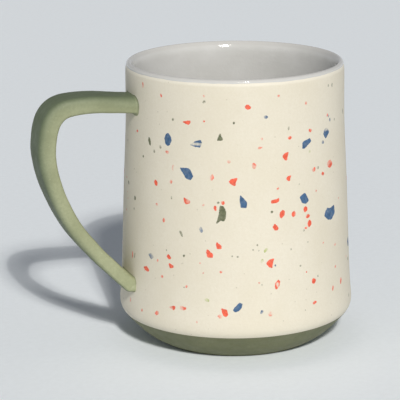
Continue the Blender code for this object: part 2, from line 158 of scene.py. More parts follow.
# Chips too small to be solids: colour, azimuth, height, width, length, tilt and how far cream covers them
SMALL_CHIPS = [
    ("blue", 33.2, 53.3, 2.2, 1.9, 0, 0.0),
    ("blue", -4.4, 90.4, 1.5, 1.2, 0, 0.1),
    ("blue", -36.9, 50.3, 1.3, 2.2, 15, 0.5),
    ("blue", -66.2, 37.7, 2.6, 2.4, 0, 0.55),
    ("blue", 30.7, 78.3, 1.2, 1.3, 0, 0.2),
    ("blue", 36.0, 87.2, 0.6, 1.4, 20, 0.3),
    ("blue", 37.6, 85.6, 0.8, 1.7, 15, 0.2),
    ("blue", -7.4, 20.5, 0.8, 1.9, -30, 0.35),
    ("olive", -47.5, 48.2, 0.8, 3.0, 30, 0.15),
    ("olive", -81.3, 56.9, 1.5, 1.9, 0, 0.1),
    ("olive", -20.5, 88.6, 0.8, 0.9, 0, 0.2),
    ("olive", -35.5, 95.8, 1.0, 0.9, 0, 0.35),
    ("olive", -1.8, 56.6, 0.9, 0.9, 0, 0.0),
    ("olive", -28.4, 60.4, 0.8, 0.8, 0, 0.1),
    ("olive", -74.1, 73.1, 0.8, 0.8, 0, 0.1),
    ("olive", -61.0, 77.9, 0.9, 1.6, 25, 0.7),
    ("olive", -65.2, 76.0, 0.9, 1.2, 0, 0.7),
    ("olive", 26.4, 69.8, 0.9, 1.1, 0, 0.3),
    ("lime", -5.1, 43.0, 1.0, 2.0, -35, 0.5),
    ("lime", -7.0, 39.1, 0.9, 1.5, -20, 0.65),
    ("lime", -33.8, 24.9, 1.8, 1.3, 0, 0.35),
    ("olive", -45.8, 40.2, 0.8, 0.8, 0, 0.1),
    ("coral", -35.6, 88.9, 0.8, 0.8, 0, 0.1),
    ("coral", 8.6, 82.1, 1.6, 1.4, 20, 0.15),
    ("coral", 21.5, 83.6, 1.8, 1.3, 0, 0.1),
    ("coral", 30.0, 67.1, 2.0, 1.7, 0, 0.1),
    ("coral", 23.3, 69.5, 1.8, 1.8, 0, 0.25),
    ("coral", 1.5, 64.7, 1.0, 0.9, 0, 0.15),
    ("coral", 18.6, 53.3, 2.1, 1.8, 0, 0.05),
    ("coral", 17.1, 49.1, 1.5, 1.0, 0, 0.1),
    ("coral", -26.0, 60.4, 1.5, 1.8, 0, 0.1),
    ("coral", -29.9, 58.5, 1.5, 2.3, 15, 0.1),
    ("coral", -57.7, 52.1, 1.4, 1.8, 0, 0.1),
    ("coral", 21.7, 20.9, 2.2, 1.4, 10, 0.15),
    ("coral", -61.1, 17.3, 1.6, 2.6, -30, 0.15),
    ("coral", -80.7, 81.3, 1.8, 1.1, 0, 0.15),
    ("coral", 44.7, 25.2, 1.4, 3.2, -8, 0.1),
    ("coral", 35.2, 87.6, 0.9, 1.3, -15, 0.1),
    ("coral", -27.0, 35.4, 1.2, 0.8, 0, 0.1),
    ("coral", -10.6, 73.2, 1.8, 2.4, 0, 0.4),
    ("coral", -31.5, 69.2, 1.4, 2.4, -10, 0.4),
    ("coral", -53.6, 66.4, 1.3, 1.7, 0, 0.5),
    ("coral", -56.4, 76.6, 1.8, 1.2, 0, 0.5),
    ("coral", -62.5, 57.2, 1.5, 1.1, 0, 0.55),
    ("coral", -36.0, 59.4, 1.1, 1.1, 0, 0.65),
    ("coral", -7.5, 79.5, 1.9, 1.0, 5, 0.55),
    ("coral", -6.5, 82.6, 1.1, 1.0, 0, 0.75),
    ("coral", -23.0, 74.9, 1.4, 1.4, 0, 0.85),
    ("coral", 2.3, 97.5, 1.1, 1.0, 0, 0.55),
    ("coral", 18.6, 93.7, 1.2, 1.3, 0, 0.5),
    ("coral", -35.5, 97.9, 1.1, 1.0, 0, 0.65),
    ("coral", -60.4, 96.5, 0.8, 2.0, 15, 0.25),
    ("coral", -74.6, 98.8, 0.9, 2.5, 0, 0.25),
    ("olive", -52.9, 88.6, 0.7, 0.9, 0, 0.2),
    ("olive", 39.8, 97.8, 0.6, 1.6, 0, 0.35),
    ("olive", 36.0, 98.2, 0.6, 0.9, 0, 0.4),
    ("coral", 24.4, 61.7, 0.8, 0.8, 0, 0.3),
    ("coral", 44.7, 56.0, 1.0, 1.4, 0, 0.4),
    ("coral", -58.5, 31.2, 1.5, 1.1, 0, 0.55),
    ("coral", -71.9, 16.5, 1.1, 1.4, 0, 0.4),
    ("coral", -3.3, 19.5, 1.9, 1.9, 0, 0.87),
    ("coral", 35.9, 23.8, 1.1, 2.6, -10, 0.3),
    ("coral", 39.2, 39.8, 1.6, 1.3, 0, 0.75),
    ("coral", 39.1, 31.3, 1.1, 1.3, 0, 0.55),
    ("coral", -27.2, 19.2, 2.2, 1.6, -20, 0.85),
    ("coral", -83.0, 35.3, 1.2, 3.2, -10, 0.45),
    ("olive", -80.5, 35.6, 0.6, 2.6, -10, 0.5),
    ("coral", -61.5, 36.8, 0.8, 1.2, 0, 0.35),
    ("coral", -44.3, 29.2, 1.0, 1.2, -30, 0.25),
    ("olive", -45.6, 28.7, 0.5, 0.5, 0, 0.3),
    ("coral", -37.3, 38.2, 0.8, 0.6, 0, 0.45),
    ("coral", -35.7, 34.7, 0.9, 0.6, 0, 0.45),
    ("coral", -8.6, 31.2, 0.7, 0.8, 0, 0.35),
    ("coral", -38.7, 16.6, 0.7, 1.1, 0, 0.5),
    ("olive", -53.2, 60.8, 0.5, 1.1, 0, 0.55),
    ("olive", -82.0, 52.9, 0.6, 1.0, 0, 0.3),
    ("coral", -83.5, 18.2, 1.0, 2.0, -10, 0.6),
    ("olive", -9.3, 45.0, 0.5, 0.6, 0, 0.3),
    ("olive", -11.4, 43.4, 0.5, 0.5, 0, 0.45),
    ("olive", -21.6, 41.2, 0.6, 0.5, 0, 0.65),
    ("olive", -18.9, 41.0, 0.7, 0.6, 0, 0.65),
    ("coral", -52.6, 71.5, 0.9, 2.4, 0, 0.7),
    ("coral", 28.9, 42.0, 0.8, 0.8, 0, 0.25),
    ("olive", 15.8, 48.3, 0.7, 0.6, 0, 0.45),
    ("olive", 18.2, 43.8, 0.7, 0.5, 0, 0.5),
    ("coral", 17.0, 32.9, 0.7, 0.9, 0, 0.25),
    ("olive", 8.2, 42.3, 0.6, 0.6, 0, 0.55),
    ("olive", 13.4, 35.6, 0.8, 0.5, 0, 0.6),
    ("olive", -7.2, 30.4, 0.6, 0.5, 0, 0.6),
    ("blue", -0.4, 37.1, 0.6, 0.7, 0, 0.2),
    ("olive", 24.5, 30.4, 0.7, 0.7, 0, 0.4),
    ("olive", 42.5, 84.9, 0.6, 0.9, 0, 0.45),
    ("olive", 8.0, 85.6, 0.7, 1.5, 0, 0.8),
    ("lime", 20.5, 76.3, 1.2, 1.0, 0, 0.8),
]

# ---------------------------------------------------------------- reading the frame


def merged(node):
    """A bmesh of a node in millimetres, with its split vertices joined."""
    shape = bmesh.new()
    shape.from_mesh(node.data)
    bmesh.ops.scale(shape, vec=(1 / MM,) * 3, verts=shape.verts)
    bmesh.ops.remove_doubles(shape, verts=shape.verts, dist=0.002)
    return shape


def section(name):
    """The (radius, height) outline of a turned node, in order, read from its rings of vertices.

    A solid that reaches the axis gives a path, from its top; a ring gives a loop, from its lowest outer edge.
    """
    shape = merged(NODES[name])
    azimuths = {}
    rings = {}
    for vertex in shape.verts:
        radius = vertex.co.xy.length
        azimuths[vertex] = round(math.degrees(math.atan2(vertex.co.x, -vertex.co.y)) % 360, 1)
        rings.setdefault((round(radius, 1), round(vertex.co.z, 1)), []).append(vertex)
    rings = {key: ring for key, ring in rings.items() if len(ring) > RING_MINIMUM or key[0] == 0}
    ring_of = {vertex: key for key, ring in rings.items() for vertex in ring}
    places = {key: Vector((max(v.co.xy.length for v in ring), ring[0].co.z)) for key, ring in rings.items()}
    joins = {}
    for edge in shape.edges:
        a, b = edge.verts
        if a in ring_of and b in ring_of and ring_of[a] != ring_of[b]:
            if azimuths[a] == azimuths[b] or 0 in (ring_of[a][0], ring_of[b][0]):
                pair = frozenset((ring_of[a], ring_of[b]))
                joins[pair] = joins.get(pair, 0) + 1
    links = {key: [] for key in rings}
    for pair, count in joins.items():
        if count > JOIN_MINIMUM:
            a, b = sorted(pair)
            links[a].append(b)
            links[b].append(a)
    shape.free()
    ends = [key for key in links if len(links[key]) == 1]
    if ends:
        start = max(ends, key=lambda key: key[1])
    else:
        start = min(links, key=lambda key: (key[1], -key[0]))
    path = [start]
    while True:
        onward = [key for key in links[path[-1]] if key not in path]
        if not onward:
            break
        path.append(max(onward))
    return [places[key] for key in path]


def smooth_curve(points, spacing, fewest=6):
    """Points at about a spacing along a centripetal Catmull-Rom curve through the given points."""
    knots = [Vector(p) for p in points]
    knots = [2 * knots[0] - knots[1]] + knots + [2 * knots[-1] - knots[-2]]
    curve = []
    for p0, p1, p2, p3 in zip(knots, knots[1:], knots[2:], knots[3:]):
        t1 = (p1 - p0).length ** 0.5
        t2 = t1 + (p2 - p1).length ** 0.5
        t3 = t2 + (p3 - p2).length ** 0.5
        steps = max(fewest, math.ceil((p2 - p1).length / spacing))
        for step in range(steps):
            t = t1 + (t2 - t1) * step / steps
            a1 = p0 * ((t1 - t) / t1) + p1 * (t / t1)
            a2 = p1 * ((t2 - t) / (t2 - t1)) + p2 * ((t - t1) / (t2 - t1))
            a3 = p2 * ((t3 - t) / (t3 - t2)) + p3 * ((t - t2) / (t3 - t2))
            b1 = a1 * ((t2 - t) / t2) + a2 * (t / t2)
            b2 = a2 * ((t3 - t) / (t3 - t1)) + a3 * ((t - t1) / (t3 - t1))
            curve.append(b1 * ((t2 - t) / (t2 - t1)) + b2 * ((t - t1) / (t2 - t1)))
    curve.append(knots[-2])
    return curve


def shifted(curve, distance):
    """The curve moved to the left of its direction; distance is a number or one number for each point."""
    moved = []
    for i, point in enumerate(curve):
        along = (curve[min(i + 1, len(curve) - 1)] - curve[max(i - 1, 0)]).normalized()
        far = distance[i] if isinstance(distance, list) else distance
        moved.append(point + Vector((-along.y, along.x)) * far)
    return moved


def lengths_along(curve):
    """How far along the curve each of its points lies."""
    total = [0.0]
    for before, after in zip(curve, curve[1:]):
        total.append(total[-1] + (after - before).length)
    return total


def gap_holding(value, rising):
    """The index of the last of the rising numbers that is not above value, and never the very last."""
    return max(0, min(bisect_right(rising, value), len(rising) - 1) - 1)


def point_along(curve, lengths, distance):
    """The point of a curve at a distance along it, held to its ends."""
    distance = min(max(distance, 0.0), lengths[-1])
    low = gap_holding(distance, lengths)
    share = (distance - lengths[low]) / max(1e-9, lengths[low + 1] - lengths[low])
    return curve[low].lerp(curve[low + 1], share)


def ramp(value, start, end):
    """0 before start, 1 after end and smooth between them."""
    share = min(1.0, max(0.0, (value - start) / (end - start)))
    return share * share * (3 - 2 * share)


# ---------------------------------------------------------------- meshes


def shown(name, shape, material, replaced, smooth_angle=40.0):
    """An object from a bmesh in millimetres, riding on the mug and standing for the CAD nodes replaced."""
    bmesh.ops.scale(shape, vec=(MM,) * 3, verts=shape.verts)
    bmesh.ops.recalc_face_normals(shape, faces=shape.faces)
    mesh = bpy.data.meshes.new(name)
    shape.to_mesh(mesh)
    shape.free()
    mesh.shade_smooth()
    mesh.set_sharp_from_angle(angle=math.radians(smooth_angle))
    mesh.materials.append(material)
    piece = bpy.data.objects.new(name, mesh)
    bpy.context.scene.collection.objects.link(piece)
    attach(piece, "root")
    if replaced:
        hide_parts(*replaced)
    return piece


def turned(profile_at, closed):
    """A bmesh of a profile turned about Z; profile_at(angle) gives its (radius, height) points there."""
    shape = bmesh.new()
    columns = []
    poles = {}
    for step in range(TURNED_SEGMENTS):
        angle = 2 * math.pi * step / TURNED_SEGMENTS
        column = []
        for row, point in enumerate(profile_at(angle)):
            if point[0] < 1e-6:
                if row not in poles:
                    poles[row] = shape.verts.new((0, 0, point[1]))
                column.append(poles[row])
            else:
                place = (point[0] * math.sin(angle), -point[0] * math.cos(angle), point[1])
                column.append(shape.verts.new(place))
        columns.append(column)
    rows = len(columns[0])
    for step, column in enumerate(columns):
        following = columns[(step + 1) % TURNED_SEGMENTS]
        for row in range(rows if closed else rows - 1):
            after = (row + 1) % rows
            corners = []
            for corner in (column[row], following[row], following[after], column[after]):
                if corner not in corners:
                    corners.append(corner)
            if len(corners) > 2:
                shape.faces.new(corners)
    return shape


def ring_loft(rings, closed):
    """A bmesh through rings of points; closed joins the last ring to the first, else both ends are capped."""
    shape = bmesh.new()
    made = [[shape.verts.new(point) for point in ring] for ring in rings]
    sides = len(made[0])
    pairs = list(zip(made, made[1:]))
    if closed:
        pairs.append((made[-1], made[0]))
    for ring, following in pairs:
        for i in range(sides):
            j = (i + 1) % sides
            shape.faces.new((ring[i], ring[j], following[j], following[i]))
    if not closed:
        shape.faces.new(made[0])
        shape.faces.new(made[-1])
    return shape


# ---------------------------------------------------------------- materials


class Nodes:
    """A short way to write a material's node tree."""

    def __init__(self, name):
        self.material = bpy.data.materials.new(name)
        self.material.use_nodes = True
        self.tree = self.material.node_tree
        self.shader = self.tree.nodes["Principled BSDF"]
        self.output = self.tree.nodes["Material Output"]
        self.place = self.add("ShaderNodeTexCoord").outputs["Object"]

    def add(self, kind, **settings):
        node = self.tree.nodes.new(kind)
        for key, value in settings.items():
            setattr(node, key, value)
        return node

    def link(self, source, target):
        self.tree.links.new(source, target)

    def put(self, value, socket):
        if isinstance(value, bpy.types.NodeSocket):
            self.link(value, socket)
        elif isinstance(value, tuple) and len(value) == 3 and len(socket.default_value) == 4:
            socket.default_value = (*value, 1.0)
        else:
            socket.default_value = value

    def noise(self, scale, detail=3.0, roughness=0.55, place=None):
        node = self.add("ShaderNodeTexNoise")
        node.inputs["Scale"].default_value = scale
        node.inputs["Detail"].default_value = detail
        node.inputs["Roughness"].default_value = roughness
        self.link(place or self.place, node.inputs["Vector"])
        return node.outputs["Fac"]

    def span(self, value, low, high, to_low=0.0, to_high=1.0):
        node = self.add("ShaderNodeMapRange")
        node.interpolation_type = "SMOOTHSTEP"
        self.link(value, node.inputs["Value"])
        node.inputs["From Min"].default_value = low
        node.inputs["From Max"].default_value = high
        node.inputs["To Min"].default_value = to_low
        node.inputs["To Max"].default_value = to_high
        return node.outputs["Result"]

    def math(self, operation, a, b):
        node = self.add("ShaderNodeMath", operation=operation)
        self.put(a, node.inputs[0])
        self.put(b, node.inputs[1])
        return node.outputs[0]

    def mix(self, share, a, b, blend="MIX"):
        node = self.add("ShaderNodeMix", data_type="RGBA", blend_type=blend)
        self.put(share, node.inputs[0])
        self.put(a, node.inputs[6])
        self.put(b, node.inputs[7])
        return node.outputs[2]

    def specks(self, scale, size, kept):
        """1 in round specks of a size, in cells; kept is the share of cells that have one."""
        cells = self.add("ShaderNodeTexVoronoi", feature="F1")
        cells.inputs["Scale"].default_value = scale
        self.link(self.place, cells.inputs["Vector"])
        near = self.span(cells.outputs["Distance"], size * 0.6, size, 1.0, 0.0)
        split = self.add("ShaderNodeSeparateColor")
        self.link(cells.outputs["Color"], split.inputs[0])
        chosen = self.math("LESS_THAN", split.outputs[0], kept)
        return self.math("MULTIPLY", near, chosen)

    def attribute(self, name):
        return self.add("ShaderNodeAttribute", attribute_name=name).outputs["Fac"]

    def bump(self, heights):
        """Bumps stacked from (height socket, distance in metres, strength)."""
        normal = None
        for height, distance, strength in heights:
            node = self.add("ShaderNodeBump")
            node.inputs["Strength"].default_value = strength
            node.inputs["Distance"].default_value = distance
            self.link(height, node.inputs["Height"])
            if normal is not None:
                self.link(normal, node.inputs["Normal"])
            normal = node.outputs["Normal"]
        self.link(normal, self.shader.inputs["Normal"])

    def finish(self, colour, roughness, specular=0.4):
        self.link(colour, self.shader.inputs["Base Color"])
        self.put(roughness, self.shader.inputs["Roughness"])
        self.shader.inputs["Specular IOR Level"].default_value = specular
        return self.material


def clay_relief(nodes, strength=1.0):
    """Bumps of sanded stoneware: broad unevenness, fine grain and pinholes."""
    nodes.bump(
        [
            (nodes.noise(70, 2), 0.00025, 0.5 * strength),
            (nodes.noise(900, 4, 0.65), 0.00004, 0.55 * strength),
            (nodes.specks(520, 0.16, 0.22), -0.00006, 0.6 * strength),
        ]
    )


def cream_colour(nodes):
    """The cream clay: warm and light patches, a fine grain, a few faint dark grains and a painted highlight
    at the top of the wall.
    """
    patches = nodes.span(nodes.noise(38, 3), 0.3, 0.7)
    grain = nodes.span(nodes.noise(1300, 3, 0.7), 0.25, 0.75, 0.0, 0.35)
    clay = nodes.mix(patches, CREAM, CREAM_LIGHT)
    clay = nodes.mix(grain, clay, CREAM_GRAIN)
    split = nodes.add("ShaderNodeSeparateXYZ")
    nodes.link(nodes.place, split.inputs[0])
    # Painted highlight: the cream lightens from 101.4 mm up, where the rim's outer edge catches the light
    rim_highlight = nodes.span(split.outputs["Z"], 0.1014, 0.1023, 0.0, 0.5)
    clay = nodes.mix(rim_highlight, clay, CREAM_PAINTED_HIGHLIGHT)
    faint = nodes.math("MULTIPLY", nodes.specks(420, 0.13, 0.16), 0.35)
    return nodes.mix(faint, clay, CREAM_SPECK)


def make_cream():
    nodes = Nodes("cream_clay")
    clay_relief(nodes)
    roughness = nodes.span(nodes.noise(300, 3), 0.3, 0.7, 0.56, 0.68)
    return nodes.finish(cream_colour(nodes), roughness)


def make_sage(name, dark, light):
    """Coloured clay in two tones, streaked a little, with fine pale and dark grains, and painted shade
    multiplied over faces whose attribute outer says so.
    """
    nodes = Nodes(name)
    clay_relief(nodes, 1.3)
    patches = nodes.span(nodes.noise(95, 4, 0.6), 0.3, 0.7)
    clay = nodes.mix(patches, dark, light)
    grain = nodes.span(nodes.noise(1100, 3, 0.7), 0.25, 0.75, 0.0, 0.4)
    clay = nodes.mix(grain, clay, tuple(0.78 * c for c in dark))
    pale = nodes.math("MULTIPLY", nodes.specks(700, 0.2, 0.18), 0.3)
    clay = nodes.mix(pale, clay, tuple(min(1.0, 1.45 * c) for c in light))
    # Painted shade: the strap's outer face darkened where its attribute outer is 1
    clay = nodes.mix(nodes.attribute("outer"), clay, SAGE_PAINTED_SHADE, "MULTIPLY")
    roughness = nodes.span(nodes.noise(260, 3), 0.3, 0.7, 0.55, 0.7)
    return nodes.finish(clay, roughness)


def make_glaze():
    """Glossy light grey glaze with a soft orange-peel surface and thin places, and painted shade lower down
    inside and on the rim's top.
    """
    nodes = Nodes("grey_glaze")
    cloud = nodes.span(nodes.noise(55, 3), 0.3, 0.7)
    glaze = nodes.mix(cloud, GLAZE, GLAZE_LIGHT)
    motes = nodes.math("MULTIPLY", nodes.specks(500, 0.12, 0.12), 0.35)
    glaze = nodes.mix(motes, glaze, GLAZE_MOTE)
    split = nodes.add("ShaderNodeSeparateXYZ")
    nodes.link(nodes.place, split.inputs[0])
    # Painted shade: the glaze darkens from 100 mm down to 60 mm inside the mug
    deep_shade = nodes.span(split.outputs["Z"], 0.060, 0.100, 1.0, 0.0)
    glaze = nodes.mix(deep_shade, glaze, GLAZE_DEEP_SHADE)
    # Painted shade: the glaze on the rim's top, above 102.2 mm, is darkened
    rim_shade = nodes.span(split.outputs["Z"], 0.1022, 0.1032)
    glaze = nodes.mix(nodes.math("MULTIPLY", rim_shade, 0.85), glaze, GLAZE_RIM_SHADE)
    nodes.bump([(nodes.noise(110, 2), 0.0002, 0.35), (nodes.noise(650, 2), 0.00012, 0.6)])
    roughness = nodes.span(nodes.noise(200, 2), 0.3, 0.7, 0.06, 0.10)
    return nodes.finish(glaze, roughness, 0.5)


def make_chip(name, colour):
    """Chip clay: uneven in tone, soft at its edge, and under a film of cream where veil says so."""
    nodes = Nodes(name)
    clay_relief(nodes, 0.8)
    tone = nodes.span(nodes.noise(900, 3, 0.6), 0.3, 0.7)
    clay = nodes.mix(tone, tuple(0.82 * c for c in colour), tuple(min(1.0, 1.18 * c + 0.01) for c in colour))
    fray = nodes.span(nodes.noise(2600, 2), 0.3, 0.7, -0.12, 0.12)
    rim = nodes.math("ADD", nodes.attribute("edge"), fray)
    soft = nodes.span(rim, 0.0, 0.14, 0.4, 0.0)
    smear = nodes.span(nodes.noise(700, 2), 0.3, 0.7, -0.22, 0.26)
    veil = nodes.math("ADD", nodes.attribute("veil"), nodes.math("MULTIPLY", smear, nodes.attribute("smear")))
    veil = nodes.math("MAXIMUM", nodes.math("MINIMUM", veil, 0.97), 0.0)
    bare = nodes.math("MULTIPLY", nodes.math("SUBTRACT", 1.0, veil), nodes.math("SUBTRACT", 1.0, soft))
    cover = nodes.math("SUBTRACT", 1.0, bare)
    roughness = nodes.span(nodes.noise(300, 3), 0.3, 0.7, 0.54, 0.66)
    return nodes.finish(nodes.mix(cover, clay, cream_colour(nodes)), roughness)


def make_floor():
    nodes = Nodes("floor")
    fibres = nodes.span(nodes.noise(420, 4, 0.7), 0.3, 0.7)
    paper = nodes.mix(fibres, tuple(0.97 * c for c in FLOOR), FLOOR)
    nodes.bump([(nodes.noise(420, 4, 0.7), 0.0001, 0.25)])
    return nodes.finish(paper, 0.9, 0.2)


# ---------------------------------------------------------------- wall, base and glaze


def sloped(point, highest):
    """A point of the rim's section, lowered inside its highest point so that the rim falls inwards."""
    inwards = max(highest.x - point.x, 0.0)
    return point - Vector((0.0, RIM_SLOPE * inwards * ramp(point.y, highest.y - RIM_SLOPE_DEPTH, highest.y)))


wall_section = section("mug_wall")
base_section = section("base")
glaze_section = section("interior_glaze")

top = max(range(len(wall_section)), key=lambda i: wall_section[i].y)
seam = min(range(len(wall_section)), key=lambda i: (round(wall_section[i].y, 1), -wall_section[i].x))
wall_outside = wall_section[top : seam + 1][::-1]
wall_rebate = wall_section[seam + 1 :]
wall_inside = wall_section[:top][::-1]
widest = max(range(len(base_section)), key=lambda i: base_section[i].x)
base_hidden = base_section[:widest]
base_outside = base_section[widest:]
crest = max(range(len(glaze_section)), key=lambda i: glaze_section[i].y)
lip = crest + 2

# One outline of the whole mug's skin, from the foot up the outside, over the rim and down to the floor
seam_point = (wall_outside[0] + base_outside[0]) / 2
below_seam = base_outside[1:][::-1]
above_seam = [p for p in wall_outside[1:] if p.y < glaze_section[lip].y - 0.4]
inside_points = [sloped(p, glaze_section[crest]) for p in glaze_section[: lip + 1][::-1]]
floor_point = Vector((12.0, 7.0))
skin = smooth_curve(below_seam + [seam_point] + above_seam + inside_points + [floor_point], ROW_SPACING)
seam_at = min(range(len(skin)), key=lambda i: (skin[i] - seam_point).length)
rim_start = min(i for i in range(len(skin)) if skin[i].y > GLAZE_START - RIM_BLEND)
rim_end = min(i for i in range(len(skin)) if skin[i].y > GLAZE_START)
drop = [0.0] * rim_start
spans = lengths_along(skin)
for i in range(rim_start, len(skin)):
    drop.append(GLAZE_FILM * ramp(spans[i], spans[rim_start], spans[rim_end]))
CLAY = shifted(skin, drop)
BASE_SKIN = CLAY[: seam_at + 1]
WALL_SKIN = CLAY[seam_at : rim_end + 1]
WALL_HEIGHTS = [p.y for p in WALL_SKIN]
INNER_CLAY = CLAY[rim_end:]
INNER_LENGTHS = lengths_along(INNER_CLAY)


def wall_radius(height):
    """The outside radius of the wall at a height."""
    low = gap_holding(height, WALL_HEIGHTS)
    below, above = WALL_SKIN[low], WALL_SKIN[low + 1]
    share = (height - below.y) / (above.y - below.y)
    return below.x + (above.x - below.x) * share


def wall_gap(point):
    """How far a point lies outside the wall, in millimetres; negative inside it."""
    return point.xy.length - wall_radius(point.z)


def on_wall(azimuth, height, out):
    """The point on the wall at an azimuth in radians and a height, moved out from its surface."""
    radius = wall_radius(height) + out
    return Vector((radius * math.sin(azimuth), -radius * math.cos(azimuth), height))


def build_wall(material):
    over_rim = [p for p in INNER_CLAY[1:] if p.y > wall_inside[0].y - INNER_JOIN]
    start = WALL_SKIN[0] + Vector((0.0, SEAM_GAP))
    down = [p for p in wall_inside if p.y < wall_inside[0].y - INNER_JOIN]
    profile = [start] + WALL_SKIN[1:] + over_rim + down + wall_rebate[::-1]
    return shown("wall", turned(lambda angle: profile, True), material, ["mug_wall"])


def build_base(material):
    hidden = [Vector((0.0, base_hidden[0].y))] + base_hidden
    profile = hidden + [BASE_SKIN[-1] - Vector((0.0, SEAM_GAP))] + BASE_SKIN[-2::-1]
    profile.append(Vector((0.0, 0.0)))
    return shown("base_shell", turned(lambda angle: profile, False), material, ["base"])


def build_glaze(material):
    """A closed skin from the floor's middle to a wavy edge just short of the rim's outer side, and back."""

    def profile_at(angle):
        ring = Vector((math.cos(angle), math.sin(angle), 0.0))
        wave = noise.noise(ring * 4.0) + 0.6 * noise.noise(ring * 13.0 + Vector((5, 0, 0)))
        edge = GLAZE_EDGE + GLAZE_EDGE_WAVE * wave
        front = []
        back = []
        for i, point in enumerate(INNER_CLAY):
            keep = INNER_LENGTHS[i]
            if keep < GLAZE_EDGE_REACH:
                keep = max(keep, edge + 0.03 * i)
            place = point_along(INNER_CLAY, INNER_LENGTHS, keep)
            ahead = point_along(INNER_CLAY, INNER_LENGTHS, keep + 0.05)
            along = (ahead - point_along(INNER_CLAY, INNER_LENGTHS, keep - 0.05)).normalized()
            out = Vector((along.y, -along.x))
            film = GLAZE_FILM * ramp(keep - edge, -0.02, 0.35)
            front.append(place + out * film)
            back.append(place - out * GLAZE_BACK)
        return [Vector((0.0, front[-1].y))] + front[::-1] + back + [Vector((0.0, back[-1].y))]

    return shown("glaze", turned(profile_at, False), material, ["interior_glaze"])


# ---------------------------------------------------------------- handle and its slip joints


def strap_line():
    """The strap's centre line in the XZ plane as (x, z, thickness), read from its flat faces' edges."""
    shape = merged(NODES["handle"])
    half_width = max(v.co.y for v in shape.verts)
    clear = [v.co.copy() for v in shape.verts if wall_gap(v.co) > STRAP_CLEAR]
    shape.free()
    outer = [Vector((p.x, p.z)) for p in clear if abs(p.y - half_width + STRAP_OUTER_CORNER) < 0.02]
    inner = [Vector((p.x, p.z)) for p in clear if abs(p.y - half_width + STRAP_INNER_CORNER) < 0.02]
    line = [max(outer, key=lambda p: (p.y > 60.0, p.x))]
    outer.remove(line[0])
    while outer:
        nearest = min(outer, key=lambda p: (p - line[-1]).length)
        outer.remove(nearest)
        line.append(nearest)
    stations = []
    for i, point in enumerate(line):
        along = (line[min(i + 1, len(line) - 1)] - line[max(i - 1, 0)]).normalized()
        facing = min(inner, key=lambda p: (p - point).length)
        if abs((facing - point).dot(along)) < 0.5:
            centre = (point + facing) / 2
            stations.append(Vector((centre.x, centre.y, (facing - point).length)))
    return stations, half_width


def strap_frames():
    """Fine stations along the strap, run on into the wall: centre, direction, thickness and distance."""
    stations, half_width = strap_line()
    curve = smooth_curve(stations, 0.5, 2)
    for end, inner in ((0, 1), (-1, -2)):
        outward = (curve[end] - curve[inner]).normalized()
        outward.z = 0.0
        reach = [curve[end] + outward * step for step in range(1, STRAP_REACH + 1)]
        curve = reach[::-1] + curve if end == 0 else curve + reach
    lengths = lengths_along(curve)
    frames = []
    for step in range(STRAP_STATIONS + 1):
        distance = lengths[-1] * step / STRAP_STATIONS
        here = point_along(curve, lengths, distance)
        ahead = point_along(curve, lengths, distance + 0.4)
        behind = point_along(curve, lengths, distance - 0.4)
        along = Vector((ahead.x - behind.x, 0.0, ahead.y - behind.y)).normalized()
        frames.append((Vector((here.x, 0.0, here.y)), along, here.z, distance))
    return frames, half_width


STRAP, STRAP_HALF_WIDTH = strap_frames()


def strap_section(turn, thickness, start, end):
    """A place on the strap's section as (outwards, sideways), at a turn from the middle of its outer face.

    start grows from 0 to 1 towards the upper joint, and end where the strap flares into its lower joint.
    """
    face_end, corner_end, side_end, inside_end = STRAP_SHARES
    share = (turn / (2 * math.pi)) % 1.0
    hand = 1.0
    if share > 0.5:
        share = 1.0 - share
        hand = -1.0
    half = thickness / 2
    wide = STRAP_HALF_WIDTH + STRAP_END_FLARE * end
    outer = STRAP_OUTER_CORNER + (STRAP_END_CORNER - STRAP_OUTER_CORNER) * end
    outer += (STRAP_START_CORNER - STRAP_OUTER_CORNER) * start
    inner = STRAP_INNER_CORNER
    slim = wide - STRAP_LEAN
    if share < face_end:
        flat = (wide - outer) * share / face_end
        place = (half + STRAP_DOME * (0.6 - (flat / wide) ** 2), flat)
    elif share < corner_end:
        angle = math.pi / 2 * (share - face_end) / (corner_end - face_end)
        drop = STRAP_DOME * (((wide - outer) / wide) ** 2 - 0.6)
        place = (half - drop - (outer - drop) * (1 - math.cos(angle)), wide - outer * (1 - math.sin(angle)))
    elif share < side_end:
        fall = (share - corner_end) / (side_end - corner_end)
        place = (half - outer - (thickness - outer - inner) * fall, wide - STRAP_LEAN * fall)
    elif share < inside_end:
        angle = math.pi / 2 * (share - side_end) / (inside_end - side_end)
        place = (-half + inner * (1 - math.sin(angle)), slim - inner * (1 - math.cos(angle)))
    else:
        place = (-half, (slim - inner) * (0.5 - share) / (0.5 - inside_end))
    return place[0], hand * place[1]


def outer_shade(share, down):
    """Painted shade: 1 on the strap's outer face and 0 on its inner face, for shares of the way round it and
    down it.
    """
    reach = SHADE_EDGE - SHADE_EDGE_FALL * ramp(down, 0.45, 0.7)
    return ramp(reach - min(share, 1 - share), 0.0, SHADE_BLEND)


def paint_outer_shade(piece, shade_at):
    """Gives a piece its attribute outer, the share of painted shade, from a function of each vertex's number.
    """
    outer = piece.data.attributes.new("outer", "FLOAT", "POINT")
    for index in range(len(piece.data.vertices)):
        outer.data[index].value = shade_at(index)


def strap_point(at, turn):
    """The strap's surface at a station number, which may be a fraction, and a turn round its section."""
    at = min(max(at, 0.0), STRAP_STATIONS - 1e-6)
    low = int(at)
    share = at - low
    centre = STRAP[low][0].lerp(STRAP[low + 1][0], share)
    along = STRAP[low][1].lerp(STRAP[low + 1][1], share).normalized()
    thickness = STRAP[low][2] + (STRAP[low + 1][2] - STRAP[low][2]) * share
    gone = at / STRAP_STATIONS * STRAP[-1][3]
    to_end = STRAP[-1][3] - gone
    out, side = strap_section(turn, thickness, ramp(-gone, -20.0, -9.0), ramp(-to_end, -24.0, -8.0))
    across = Vector((along.z, 0.0, -along.x))
    place = centre + across * out + Vector((0.0, side, 0.0))
    ripple = 0.09 * noise.noise(place * 0.16) + 0.03 * noise.noise(place * 0.5)
    return place + across * ripple


